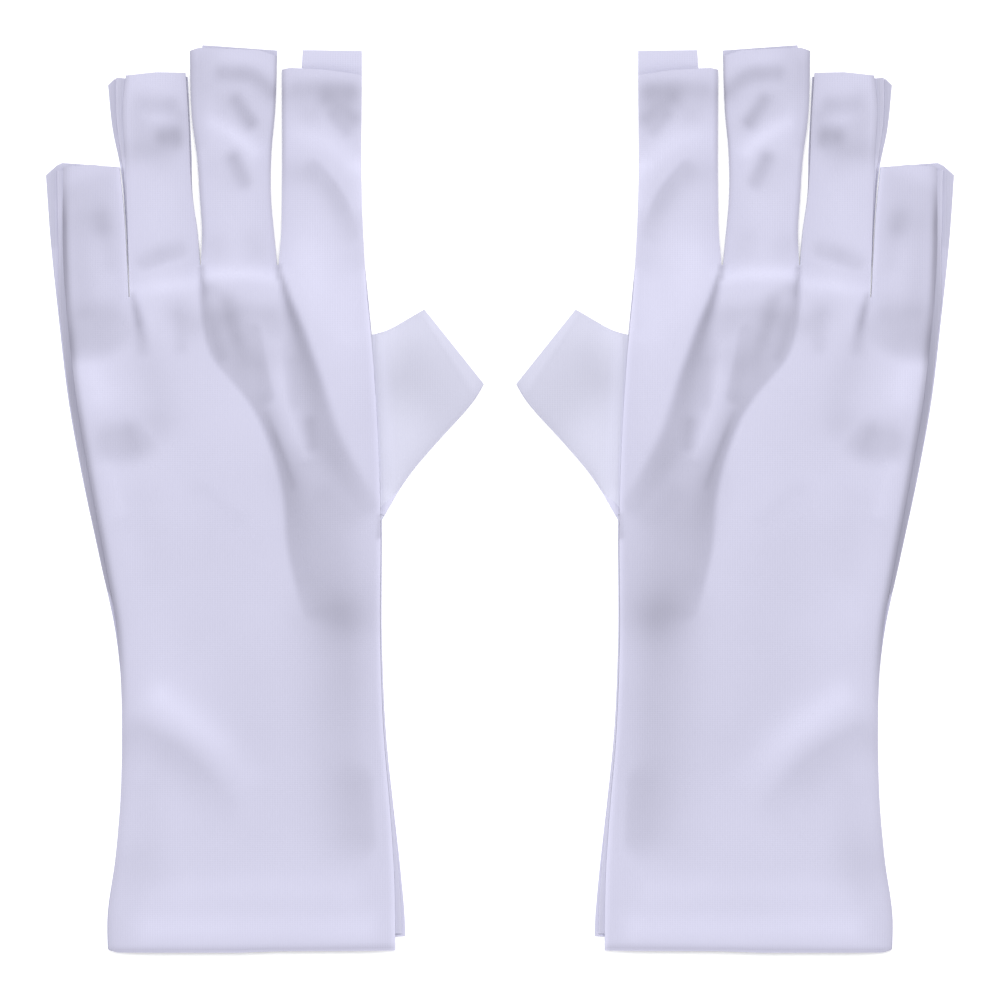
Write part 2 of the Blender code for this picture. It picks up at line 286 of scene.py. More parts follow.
# soft swells and hollows beside them and at the roots of the fingers
fold([(7.6, 160), (8.8, 149), (11, 141), (15, 131)], -0.04, 2.4, 2.2, depth=18.0)
fold([(-30.5, 174.5), (-24, 175.5), (-15, 177)], (-0.09, -0.12, -0.09), 2.6, 3.0, depth=5.0)
fold([(-11, 179.2), (7, 179.0)], -0.16, 2.5, 2.6, "both", depth=4.0)
fold([(-10, 175.5), (-6, 172.5)], 0.12, 2.2, 2.2, depth=1.5)
fold([(-6, 166), (-1.5, 157)], 0.07, 3.4, 3.4, depth=1.0)
fold([(15, 182), (20, 168), (26, 154)], (-0.11, -0.08, -0.02), 9.5, 7.0, depth=4.0)
fold([(-18.5, 169), (-15, 166)], 0.13, 3.6, 4.0, depth=2.0)
fold([(-18.5, 168), (-18, 160)], (0.06, 0.10), 2.0, 2.0, depth=1.0)
fold([(-31, 173.5), (-29.2, 168), (-27.9, 159)], (0.22, 0.28, 0.10), (1.0, 1.7), (1.0, 1.7),
     depth=3.6)
fold([(-28.5, 160), (-24.5, 150), (-22.5, 141)], 0.07, 4.5, 4.5, depth=1.0)
# the little finger's side of the hand
fold([(-45.5, 162), (-40.5, 162), (-35.5, 166)], (0.20, 0.20, 0.14), 5.5, 5.9, "right", 3.0)
fold([(-44, 169), (-37, 169)], 0.08, 3.6, 3.6, depth=2.0)
fold([(-35.5, 136), (-31, 136.4), (-27.5, 139)], (0.18, 0.25, 0.06), 4.0, 7.0, "right", 4.0)
fold([(-26, 155), (-14, 134)], 0.03, 12.0, 12.0, depth=0.0)
fold([(-42.5, 154), (-40, 147)], -0.11, 5.0, 5.0, depth=5.5)
# index finger
fold([(13, 228.2), (19, 228.2), (26.5, 227.4)], (0.12, 0.28, 0.33), 2.8, (2.6, 3.0, 4.0), "both")
fold([(20.5, 225), (27.5, 220.5)], (0.18, 0.26), 2.6, 2.8)
fold([(22, 221), (25.5, 217)], 0.13, 1.8, 1.8)
fold([(11.5, 226.5), (16, 222.5)], 0.13, 4.0, 4.0)
fold([(12, 216), (20, 214.5), (27.5, 208.5)], (-0.06, -0.10, -0.12), 3.2, 3.4, depth=5.0)
fold([(17.5, 207), (21.5, 202.5), (25, 197), (27, 190.5)], (0.12, 0.19, 0.17, 0.08), 1.8, 3.8,
     "left")
fold([(11.5, 206), (15, 205.5)], 0.09, 3.8, 3.8)
fold([(28, 207), (29, 198)], -0.09, 2.4, 2.4, depth=2.0)
fold([(27.5, 176), (27, 164)], -0.06, 4.0, 4.0, depth=1.0)
# middle finger
fold([(-7, 232.4), (0, 232.2), (3.5, 230.2), (6, 227.5)], (0.22, 0.27, 0.25, 0.2), 2.2, 2.4, "both")
fold([(-12, 236), (-10, 227), (-2, 226.5), (4, 226)], (0.12, 0.12, 0.11, 0.06), 4.6, 4.6, depth=1.6)
fold([(-3.4, 225), (0.5, 219.5)], (0.20, 0.26), 1.9, 2.2)
fold([(-9.5, 219), (-3, 215.5), (1.5, 211.5)], (-0.09, -0.13, -0.12), 2.6, 2.6, depth=4.5)
fold([(-4, 209.5), (-1, 203.8)], (0.26, 0.20), 2.0, 2.4)
fold([(-9, 208), (-5, 204)], 0.06, 4.0, 4.0, depth=2.0)
fold([(-7, 222), (3, 218)], 0.06, 3.0, 3.0, depth=2.0)
fold([(-9.5, 187), (-8.5, 186)], 0.06, 3.4, 3.4)
fold([(1, 188), (2, 186)], 0.06, 3.4, 3.4)
fold([(-14, 234), (-13, 214)], 0.07, 2.0, 2.0, depth=1.0)
fold([(7.4, 181), (7.6, 178.5)], 0.22, 0.8, 0.8, depth=0.5)
# ring finger
fold([(-27, 224.2), (-20.5, 223.8)], (0.12, 0.20), 2.6, 2.8)
fold([(-27.5, 220), (-23.5, 209.5)], 0.09, 4.5, 4.5, depth=1.0)
fold([(-27.5, 221), (-24.5, 220.3)], -0.05, 2.4, 2.4, depth=8.0)
fold([(-30, 226), (-30, 214)], 0.07, 3.4, 2.4, depth=1.0)
fold([(-22.4, 215.8), (-20.2, 216.2)], 0.24, 2.6, 2.6)
fold([(-29.5, 211), (-24, 212.5), (-20.5, 213)], 0.13, 4.0, 3.2, depth=2.4)
fold([(-28, 182.4), (-22.5, 184.4), (-18.5, 185.5)], (0.12, 0.17, 0.12), 2.6, 2.2, "right")
fold([(-18, 221), (-18.5, 214)], 0.11, 1.6, 2.0, depth=1.0)
# little finger
fold([(-39.2, 194), (-38.8, 192)], 0.16, 3.0, 3.0)
fold([(-42, 193), (-39, 190)], 0.07, 4.6, 4.6, depth=2.0)
fold([(-41, 203), (-40.5, 199)], 0.07, 3.0, 3.0)
fold([(-45.5, 200), (-45, 185), (-43.5, 170)], 0.12, 4.4, 3.4, depth=2.0)
fold([(-37.5, 204), (-36.5, 182)], 0.07, 2.4, 2.8, depth=2.0)
# cuff and wrist, the hem, and where the thumb's seam ends
fold([(-23, 66.5), (-16, 61.5), (-8, 55), (-1, 47)], (-0.13, -0.13, -0.11, -0.05), 5.0, 4.6,
     depth=5.0)
fold([(-28, 57.8), (-20.5, 53.8), (-14, 48.8), (-6.5, 40)], (0.12, 0.14, 0.12, 0.06), 3.2, 8.0,
     depth=4.0)
fold([(-30, 23), (-27, 20)], 0.08, 6.0, 6.0, depth=2.0)
fold([(-27, 42), (-26, 28)], 0.05, 5.0, 5.0, depth=1.0)
fold([(-10, 104), (0, 58)], 0.05, 14.0, 13.0, depth=0.0)
fold([(-27, 118), (-25, 100)], 0.03, 5.0, 5.0, depth=12.0)
fold([(-37, 128), (-34, 116)], -0.04, 2.4, 2.6, depth=12.0)
fold([(-12, 121), (-3, 113)], 0.02, 2.4, 4.0, depth=20.0)
fold([(24.5, 86), (25.5, 62), (26, 34)], (0.22, 0.18, 0.08), 7.0, 11.0, depth=2.6)
fold([(30.5, 43), (31, 31)], 0.11, 2.4, 9.0, "left", 3.0)
fold([(-26, 6), (0, 6), (30, 6)], -0.11, 5.0, 4.5, depth=2.0)
fold([(-24, 16), (0, 17), (26, 16)], -0.06, 4.5, 4.0, depth=1.0)
fold([(-37, 0.5), (-4, 0.8), (38, 1.4)], 0.20, 0.7, 0.7, depth=1.0)
fold([(34.6, 115.5), (34.3, 110)], 0.30, 0.8, 0.8, depth=1.0)
print("folds:", len(FOLDS))


def varied(values, along):
    """One value, or several spread evenly along a path, at shares of its length."""
    values = np.atleast_1d(values)
    return np.interp(along, np.linspace(0, 1, len(values)), values)


BELL_REACH = 3.2


def folded(points):
    """The height and the painted shade that the folds give at each point."""
    height = np.zeros(len(points))
    shade = np.zeros(len(points))
    for path, deepen, left, right, powers, depth in FOLDS:
        reach = BELL_REACH * max(np.max(left), np.max(right))
        low, high = path.min(0) - reach, path.max(0) + reach
        inside = np.flatnonzero(((points > low) & (points < high)).all(1))
        distance, side, along = near(points[inside], path)
        to_left = (side + 1) / 2
        width = varied(right, along) * (1 - to_left) + varied(left, along) * to_left
        power = powers[1] * (1 - to_left) + powers[0] * to_left
        deep = varied(deepen, along) * np.exp(-((distance / width) ** power))
        height[inside] -= depth * deep
        shade[inside] += deep
    return height, shade


# %% [markdown]
# ## How high the cloth stands
#
# An empty glove isn't flat. The back panel is held down along its edges by the strips and
# stands up softly between them, and it comes down again at the open ends. Each edge therefore
# holds the cloth down near it, and the effects are multiplied, so that they blend without a
# ridge along the middle of a finger.

# %% The back panel's surface
CLOTH = 0.45
EDGE_HEIGHT = 2.2
LOFT = 2.5
EDGE_SOFTNESS = 3.6
END_SOFTNESS = 7.0
END_DROP = 0.35
LOWEST = 1.5
FOLDS_FADE = 2.2
HALO = 2.5
DARKEST_RIM = 0.6


def edge_path(edge, low, high, step=3.0):
    """Points up an edge between two heights."""
    y = np.linspace(low, high, max(int((high - low) / step), 2) + 1)
    return np.stack([edge(y), y], 1)


# the lines run on past the cloth, so that their ends don't show
BELOW_HEM, PAST_TIPS = -20, 245.0
HELD_EDGES = [edge_path(back_outer, BELOW_HEM, 225), edge_path(back_thumb_side, BELOW_HEM, 180)]
OPEN_ENDS = [np.array([(-60.0, 0.0), (60.0, 0.0)])]
for name in FINGER_NAMES:
    left, right, tip = BACK[name]
    low = 165.0 if name == "index" else ROOTS[name]
    HELD_EDGES.append(edge_path(right, low, PAST_TIPS))
    if name != "little":
        low = LITTLE_CROTCH if name == "ring" else CROTCH
        HELD_EDGES.append(edge_path(left, low, PAST_TIPS))
    height = tip[0][1]
    OPEN_ENDS.append(np.array([(float(left(height)), height), (float(right(height)), tip[-1][1])]))


# painted shade along each held edge, and painted light where it is below nought: heights up the
# glove and its shade there, its width, and the shade of a faint halo round it
RIMS = (
    ((60, 88, 140, 152, 168, 182, 193, 204), (0.06, 0.46, 0.46, 0.34, 0.34, 0.60, 0.60, 0.15),
     1.3, 0.12),
    ((0, 180), (-0.16, -0.16), 0.9, -0.03),
    ((175, 205), (-0.14, -0.12), 0.8, 0.0),
    ((182, 215), (-0.02, 0.05), 0.8, 0.01),
    ((205, 213), (0.06, 0.22), 0.8, 0.02),
    ((182, 205, 215), (0.04, 0.20, 0.34), 0.6, 0.02),
    ((182, 190), (0.05, 0.28), 0.8, 0.04),
    ((182, 215), (-0.04, -0.04), 0.8, 0.0),
    ((182, 205, 215), (0.0, 0.14, 0.28), 0.8, 0.04),
)
print("held edges:", len(HELD_EDGES), " open ends:", len(OPEN_ENDS))


def back_surface(points):
    """Height of the back panel's upper face, and its painted shade, at draft points."""
    loft = np.ones(len(points))
    rims = np.zeros(len(points))
    for path, (heights, shades, width, faint) in zip(HELD_EDGES, RIMS):
        distance = near(points, path)[0]
        loft *= 1 - np.exp(-distance / EDGE_SOFTNESS)
        shade = np.interp(points[:, 1], heights, shades)
        rims += shade * bell(distance, 0, width) + faint * np.exp(-distance / HALO)
    for path in OPEN_ENDS:
        distance = near(points, path)[0]
        loft *= 1 - END_DROP * np.exp(-distance / END_SOFTNESS)
    push, shade = folded(points)
    kept = np.clip(loft * FOLDS_FADE, 0, 1)
    height = EDGE_HEIGHT + LOFT * loft + push * kept
    return np.maximum(height, LOWEST), shade + np.minimum(rims, DARKEST_RIM)

# %% [markdown]
# ## Cloth as a solid sheet
#
# A sheet starts as a grid of points. The grid is copied one cloth thickness lower and the two
# are joined round the rim, so that a panel is a closed solid with a cut edge, as real cloth
# has. The right glove's sheets are the left's mirrored, with their faces turned round so that
# they still look outwards.


# %% Grids to solids
SHARP = radians(50)


def new_object(name, data):
    """A new object, put into the scene."""
    new = bpy.data.objects.new(name, data)
    bpy.context.scene.collection.objects.link(new)
    return new


def write_values(mesh, label, values):
    """Writes a number on each point of a mesh."""
    layer = mesh.attributes.new(label, "FLOAT", "POINT")
    values = np.broadcast_to(np.float32(values), len(mesh.vertices))
    layer.data.foreach_set("value", values.copy())


def new_piece(name, vertices, faces, shade):
    """A new object from vertices in metres, with smooth faces, sharp rims and a painted shade."""
    mesh = bpy.data.meshes.new(name)
    mesh.from_pydata([tuple(v) for v in vertices], [], faces)
    write_values(mesh, "shade", shade)
    mesh.shade_smooth()
    mesh.set_sharp_from_angle(angle=SHARP)
    return new_object(name, mesh)


def cloth_piece(name, side, x, y, z, shade):
    """A solid sheet from grids of x, y, z and painted shade. Where x isn't a number there's no
    cloth.
    """
    there = np.isfinite(x)
    count = int(there.sum())
    index = np.full(x.shape, -1)
    index[there] = np.arange(count)
    quads = np.stack([index[:-1, :-1], index[:-1, 1:], index[1:, 1:], index[1:, :-1]], -1)
    quads = quads.reshape(-1, 4)
    quads = quads[(quads >= 0).all(1)]
    edges = np.concatenate([quads[:, [k, (k + 1) % 4]] for k in range(4)])
    known = set(map(tuple, edges))
    rim = [(a, b) for a, b in known if (b, a) not in known]
    faces = [tuple(q) for q in quads] + [tuple(q[::-1] + count) for q in quads]
    faces += [(b, a, a + count, b + count) for a, b in sorted(rim)]
    if SIDES[side] < 0:
        faces = [f[::-1] for f in faces]
    top = np.stack([x[there], y[there], z[there]], 1)
    under = top - (0, 0, CLOTH)
    plan = top[:, :2]
    a, b, c, d = (plan[quads[:, k]] for k in range(4))
    flat_area = 0.5 * np.abs(np.cross(c - a, d - b)).sum()
    vertices = placed(np.vstack([top, under]), side)
    values = np.concatenate([shade[there]] * 2)
    piece = new_piece(f"{side}_{name}", vertices, faces, values)
    piece["flat_area"] = flat_area * MM * MM
    piece["flat_width"] = float(np.ptp(plan[:, 0])) * MM
    piece["flat_length"] = float(np.ptp(plan[:, 1])) * MM
    return piece


print("cloth thickness:", CLOTH, "mm")

# %% [markdown]
# ## Back and palm panels
#
# One cut makes the back of a whole glove. It is modelled as a sheet for the hand and cuff, and
# a sheet for each finger, because each finger folds on its own. The columns of the hand's grid
# run on into the fingers' grids, and a row of shared places joins them, so no gap shows.

# %% Grids of the hand and the fingers
BACK["cell"] = 0.75
PALM["cell"] = 1.5
LEAST_CELLS = 4
ROOT_PULL = 8


def root_row(panel, y, names):
    """Places across the roots of some fingers at height y, and where each finger's begin."""
    parts, starts, at = [], {}, 0
    for name in names:
        left, right, _ = panel[name]
        a, b = float(left(y)), float(right(y))
        cells = max(round((b - a) / panel["cell"]), LEAST_CELLS)
        cells = panel.setdefault("cells", {}).setdefault(name, cells)
        starts[name] = at
        parts.append(np.linspace(a, b, cells + 1))
        at += cells + 1
    return np.concatenate(parts), starts


def hand_grid(panel, outer, thumb_side, hem):
    """Grids of x and y for the hand and cuff, up to the fingers' roots."""
    cell = panel["cell"]
    low_row, starts = root_row(panel, LITTLE_CROTCH, FINGER_NAMES)
    ends = float(outer(LITTLE_CROTCH)), float(thumb_side(LITTLE_CROTCH))
    share = (low_row - low_row[0]) / (low_row[-1] - low_row[0])
    hem_y = np.interp(share, *np.array(hem).T)
    rows = round(LITTLE_CROTCH / cell)
    up = np.linspace(0, 1, rows + 1)[:, None]
    y = hem_y * (1 - up) + LITTLE_CROTCH * up
    left, right = outer(y), thumb_side(y)
    fade = np.clip(y / LITTLE_CROTCH, 0, 1) ** ROOT_PULL
    x = left + share * (right - left)
    x += fade * (low_row - (ends[0] + share * (ends[1] - ends[0])))
    extra = round((CROTCH - LITTLE_CROTCH) / cell)
    first = starts["ring"]
    up = np.linspace(0, 1, extra + 1)[1:, None]
    upper_y = np.full((extra, len(low_row)), np.nan)
    upper_x = upper_y.copy()
    heights = LITTLE_CROTCH + (CROTCH - LITTLE_CROTCH) * up
    upper_y[:, first:] = heights
    for k, height in enumerate(heights[:, 0]):
        upper_x[k, first:] = root_row(panel, height, FINGER_NAMES[1:])[0]
    return np.vstack([x, upper_x]), np.vstack([y, upper_y])


def finger_grid(panel, name):
    """Grids of x and y for one finger, from its root to its tip."""
    left, right, tip = panel[name]
    root = ROOTS[name]
    cells = panel["cells"][name]
    share = np.linspace(0, 1, cells + 1)
    ends = np.interp(share, *np.array(tip).T)
    rows = round((ends.max() - root) / panel["cell"])
    up = np.linspace(0, 1, rows + 1)[:, None]
    y = root + (ends - root) * up
    a, b = left(y), right(y)
    return a + share * (b - a), y


BACK_HEM = ((0, 0.7), (0.03, 0.1), (0.45, 0.1), (0.6, 0.5), (1, 0.6))
PALM_HEM = ((0, 0.9), (0.5, 2.2), (1, 4.3))
back_x, back_y = hand_grid(BACK, back_outer, back_thumb_side, BACK_HEM)
palm_x, palm_y = hand_grid(PALM, palm_outer, palm_thumb_side, PALM_HEM)
print("the hand's grid:", back_x.shape, " the palm's:", palm_x.shape)


# %% The panels of both gloves
PALM_TOP = CLOTH + 0.05


def on_grid(surface, x, y):
    """A surface's height and shade on a grid."""
    there = np.isfinite(x)
    height, shade = np.full(x.shape, np.nan), np.full(x.shape, np.nan)
    height[there], shade[there] = surface(np.stack([x[there], y[there]], 1))
    return height, shade


# painted light and painted shade on the palm's cloth: x from, x to, y from, y to, and shade
FAR = 999.0
PALM_PAINTED_SHADE = (
    (8.0, FAR, 226.0, FAR, -0.07),
    (30.0, FAR, -FAR, 50.0, -0.2),
    (-38.0, -34.5, 209.0, FAR, 0.12),
    (-FAR, -50.5, 186.0, FAR, 0.08),
    (-35.0, -31.0, 173.5, 209.0, -0.3),
)


def palm_surface(points):
    """The palm panel's upper face, which lies on the table, and its painted shade in a few patches.
    """
    x, y = points.T
    shade = np.zeros(len(points))
    for left, right, low, high, tone in PALM_PAINTED_SHADE:
        shade[(x > left) & (x < right) & (y > low) & (y < high)] = tone
    return np.full(len(points), PALM_TOP), shade


grids = {"back_cloth": (back_x, back_y, back_surface), "palm_cloth": (palm_x, palm_y, palm_surface)}
for name in FINGER_NAMES:
    grids[f"{name}_back_cloth"] = (*finger_grid(BACK, name), back_surface)
    grids[f"{name}_palm_cloth"] = (*finger_grid(PALM, name), palm_surface)
pieces = {side: {} for side in SIDES}
for label, (x, y, surface) in grids.items():
    height, shade = on_grid(surface, x, y)
    for side in SIDES:
        pieces[side][label] = cloth_piece(label, side, x, y, height, shade)
print("sheets:", {label: tuple(x.shape) for label, (x, y, _) in grids.items()})

# %% [markdown]
# ## The thumb's sleeve
#
# The sleeve is one piece of cloth folded round the thumb's upper edge, and its two layers meet
# in a seam strip along the lower edge. Its root is tucked under the back panel's edge. A loop
# across the sleeve is repeated from the seam to the cut end, between a lower and an upper edge
# curve, and the loops are joined into a tube wall that is then thickened inwards.

# %% Sleeve between two edge curves
SEAM_LOW, SEAM_HIGH = (34.9, 114.3), (32.2, 163.3)
sleeve_low = rounded([SEAM_LOW, (41.2, 125.4), (49.7, 135.3), (59.0, 145.2), (61.9, 150.3)])
sleeve_high = rounded([SEAM_HIGH, (36.8, 164.6), (41.5, 167.4), (46.1, 170.1)])
TUCK, TUCK_FADE = 2.0, 12
SLEEVE_ROWS, SLEEVE_CELLS = 44, 44
ROUNDNESS = 0.6
SLEEVE_BASE, SLEEVE_SAG = 0.95, 0.5
ROOT_STAND, SLEEVE_LOFT, END_SINK = 0.65, 2.1, 0.25
OPENS_BY = 0.35
# a pressed line near the cut end
HEM_LINE, HEM_LINE_WIDTH, HEM_LINE_DEPTH = 0.90, 0.015, 0.25
# painted shade in soft patches, painted light where the amount is below nought: amount, centre x
# and y, half width and half height
THUMB_PAINTED_SHADE = (
    (-0.11, 44.0, 136.0, 7.0, 9.0),
    (-0.09, 40.0, 165.0, 9.0, 5.0),
    (0.10, 39.0, 151.0, 5.0, 6.0),
    (-0.30, 35.5, 117.0, 2.5, 4.0),
)


def along_path(path, t):
    """Points at shares t of a path's length."""
    length = np.concatenate([[0], np.cumsum(np.hypot(*np.diff(path, axis=0).T))])
    at = np.asarray(t) * length[-1]
    return np.stack([np.interp(at, length, path[:, 0]), np.interp(at, length, path[:, 1])], -1)


def thumb_sleeve(side):
    """The sleeve as one open wall, before it gets its thickness."""
    t = np.linspace(0, 1, SLEEVE_ROWS + 1)
    low, high = along_path(sleeve_low, t), along_path(sleeve_high, t)
    t = t[:, None]
    turn = np.linspace(0.0, 2 * pi, 2 * SLEEVE_CELLS + 1)
    share = 0.5 - 0.5 * np.cos(turn)
    upper = turn <= pi
    bulge = np.abs(np.sin(turn))
    lift = np.where(upper, bulge ** ROUNDNESS, 0.0)
    plan = low[:, None] * (1 - share[:, None]) + high[:, None] * share[:, None]
    opened = np.clip(t / OPENS_BY, 0, 1)
    opened = opened * opened * (3 - 2 * opened)
    base = np.where(upper, SLEEVE_BASE, SLEEVE_BASE - SLEEVE_SAG * np.minimum(bulge * 6, 1))
    stand = ROOT_STAND + SLEEVE_LOFT * opened * (1 - END_SINK * t ** 4)
    line = bell(t, HEM_LINE, HEM_LINE_WIDTH) * lift
    z = base + stand * lift - HEM_LINE_DEPTH * line
    beyond = np.clip((t - HEM_LINE) / HEM_LINE_WIDTH, 0, 1)
    # painted shade on the sleeve, and painted light where it is below nought: a little darker on
    # the pressed line and lighter past it, darker about six tenths of the way out, lighter near the
    # seam, then the soft patches
    shade = 0.04 * line - 0.08 * beyond * lift
    shade = shade + 0.07 * bell(t, 0.6, 0.22) * lift - 0.17 * bell(t, 0, 0.25)
    for amount, x, y, half_width, half_height in THUMB_PAINTED_SHADE:
        shade = shade + amount * (bell(plan[..., 0], x, half_width)
                                  * bell(plan[..., 1], y, half_height))
    tucked = np.where(upper, np.minimum(lift * 2, 1), 0) * np.clip(1 - t * TUCK_FADE, 0, 1)
    plan[:, :, 0] -= TUCK * tucked
    wall = np.concatenate([plan, z[:, :, None]], 2)
    size = wall.shape[1]
    faces = []
    for i in range(SLEEVE_ROWS):
        for j in range(size - 1):
            a = i * size + j
            face = (a, a + 1, a + 1 + size, a + size)
            faces.append(face if SIDES[side] < 0 else face[::-1])
    points = placed(wall.reshape(-1, 3), side)
    return new_piece(f"{side}_thumb_cloth", points, faces, shade.ravel())


def finished(piece, thickness, offset):
    """The piece made this thick, with its modifiers worked into a plain mesh."""
    wall = piece.modifiers.new("thickness", "SOLIDIFY")
    wall.thickness = thickness * MM
    wall.offset = offset
    bpy.context.view_layer.update()
    graph = bpy.context.evaluated_depsgraph_get()
    mesh = bpy.data.meshes.new_from_object(piece.evaluated_get(graph))
    piece.modifiers.clear()
    piece.data = mesh
    work = bmesh.new()
    work.from_mesh(mesh)
    bmesh.ops.remove_doubles(work, verts=work.verts, dist=1e-6)
    bmesh.ops.recalc_face_normals(work, faces=work.faces)
    work.to_mesh(mesh)
    work.free()
    mesh.shade_smooth()
    mesh.set_sharp_from_angle(angle=SHARP)
    return piece


for side in SIDES:
    sleeve = finished(thumb_sleeve(side), CLOTH, -1)
    pieces[side]["thumb_cloth"] = sleeve
    print(side, "thumb sleeve:", len(sleeve.data.polygons), "faces")

# %% [markdown]
# ## Trees of nodes
#
# The strips and the look of the cloth are both made by trees of nodes. Such a tree is easier
# to read as a formula, so a socket here can be added and multiplied like a number. One helper
# makes all other nodes.


# %% Maths and nodes as expressions
class Value:
    """A socket that can be added, multiplied and so on, each adding a Math node."""

    def __init__(self, tree, socket):
        self.tree, self.socket = tree, socket

    def _maths(self, operation, *values):
        new = node(self.tree, "ShaderNodeMath", {"operation": operation}, dict(enumerate(values)))
        return Value(self.tree, new.outputs[0])

    def __add__(self, other):
        return self._maths("ADD", self, other)

    __radd__ = __add__

    def __mul__(self, other):
        return self._maths("MULTIPLY", self, other)

    def __sub__(self, other):
        return self._maths("SUBTRACT", self, other)

    def __rsub__(self, other):
        return self._maths("SUBTRACT", other, self)

    def wave(self):
        return self._maths("SINE", self)

    def size(self):
        return self._maths("ABSOLUTE", self)


def node(tree, kind, settings=None, values=None):
    """A new node with its settings made first, then its sockets filled or linked."""
    new = tree.nodes.new(kind)
    for name, setting in (settings or {}).items():
        setattr(new, name, setting)
    for name, value in (values or {}).items():
        socket = new.inputs[name]
        if isinstance(value, Value):
            value = value.socket
        if isinstance(value, bpy.types.NodeSocket):
            tree.links.new(value, socket)
        else:
            socket.default_value = value
    return new


print("trees can be written as formulas now")

# %% [markdown]
# ## Side strips
#
# Between the two panels run narrow strips, as between the sides of a purse. Laid flat, a strip
# folds lengthwise: inwards where the two panels lie edge to edge, and outwards where the palm
# panel is the wider one, so that the fold shows as a middle step. This repeats one rule along
# a path, so Geometry Nodes make it. Each point of the path carries its outward direction, how
# far the fold reaches there, and where the strip starts and ends in height. The tree sweeps a
# short line along the path, and then puts each point in its place in the fold.


# %% The strip's node tree
POINTS_ACROSS = 9


def strip_tree():
    """A node group that sweeps a folded strip along a path that carries its own sizes."""
    tree = bpy.data.node_groups.new("folded_strip", "GeometryNodeTree")
    face = tree.interface
    face.new_socket("Path", in_out="INPUT", socket_type="NodeSocketGeometry")
    points = face.new_socket("Points Across", in_out="INPUT", socket_type="NodeSocketInt")
    points.default_value = POINTS_ACROSS
    face.new_socket("Cloth", in_out="INPUT", socket_type="NodeSocketMaterial")
    face.new_socket("Strip", in_out="OUTPUT", socket_type="NodeSocketGeometry")
    given = node(tree, "NodeGroupInput").outputs

    def named(label, kind="FLOAT"):
        """A value that each point carries."""
        new = node(tree, "GeometryNodeInputNamedAttribute", {"data_type": kind}, {"Name": label})
        return Value(tree, new.outputs["Attribute"])

    def stored(label, kind, shape, value):
        """A shape with a value written on its points."""
        return node(tree, "GeometryNodeStoreNamedAttribute", {"data_type": kind},
                    {"Name": label, "Geometry": shape, "Value": value}).outputs["Geometry"]

    # a short line, swept along the path
    curve = node(tree, "GeometryNodeMeshToCurve", values={"Mesh": given["Path"]})
    position = node(tree, "GeometryNodeInputPosition")
    spine = stored("spine", "FLOAT_VECTOR", curve.outputs["Curve"], position.outputs[0])
    line = node(tree, "GeometryNodeCurvePrimitiveLine", values={"End": (0, 0, MM)})
    line = node(tree, "GeometryNodeResampleCurve", values={
        "Curve": line.outputs["Curve"], "Count": given["Points Across"]})
    factor = node(tree, "GeometryNodeSplineParameter")
    across = stored("across", "FLOAT", line.outputs["Curve"], factor.outputs["Factor"])
    sweep = node(tree, "GeometryNodeCurveToMesh", values={
        "Curve": spine, "Profile Curve": across})

    # each point's place in the fold
    share = named("across")
    bulge = share * (1 - share) * 4
    out = named("reach") * bulge
    up = named("start") + share * named("rise")
    scaled = node(tree, "ShaderNodeVectorMath", {"operation": "SCALE"},
                  {0: named("outward", "FLOAT_VECTOR"), "Scale": out})
    lifted = node(tree, "ShaderNodeCombineXYZ", values={"Z": up})
    moved = node(tree, "ShaderNodeVectorMath", {"operation": "ADD"},
                 {0: scaled.outputs[0], 1: lifted.outputs[0]})
    total = node(tree, "ShaderNodeVectorMath", {"operation": "ADD"},
                 {0: named("spine", "FLOAT_VECTOR"), 1: moved.outputs[0]})
    put = node(tree, "GeometryNodeSetPosition", values={
        "Geometry": sweep.outputs["Mesh"], "Position": total.outputs[0]})
    real = node(tree, "GeometryNodeRealizeInstances", values={
        "Geometry": put.outputs["Geometry"]})
    paint = node(tree, "GeometryNodeSetMaterial", values={
        "Geometry": real.outputs["Geometry"], "Material": given["Cloth"]})
    node(tree, "NodeGroupOutput", values={"Strip": paint.outputs["Geometry"]})
    return tree


STRIP_TREE = strip_tree()
INPUTS = {s.name: s.identifier for s in STRIP_TREE.interface.items_tree if s.in_out == "INPUT"}
print("strip tree:", len(STRIP_TREE.nodes), "nodes")

# %% [markdown]
# ## Cloth as a material
#
# The cloth is a very fine, smooth stretch knit in pale lavender. Under a lens it has ribs of
# stitches about two thirds of a millimetre apart, which give it a soft, slightly silky sheen
# and no gloss. Maths on the piece's own coordinates makes the ribs and the rows of stitches,
# a slow noise gives the dye its small unevenness, and the painted shade written on the mesh
# deepens the colour inside the folds and along some edges, and lightens it as painted light
# where it is below nought.

# %% The knit
RIB = 0.66 * MM
STITCH = 0.52 * MM
STITCH_BEND = 1.8
CLOUDS, FIBRES = 38.0, 2600.0
BUMP_STRENGTH, BUMP_HEIGHT = 0.22, 0.1 * MM
PLAIN_SHADE, UNEVEN_DYE, RIB_SHADE = 0.24, 0.10, 0.012
ROUGHNESS, UNEVEN_ROUGHNESS = 0.84, 0.12
SHEEN, SHEEN_ROUGHNESS, GLOSS = 0.25, 0.45, 0.25
# the deep colour: a plain share of it is in all the cloth, and painted shade mixes in more
LAVENDER_DEEP_AND_SHADE = (0.17, 0.165, 0.215)


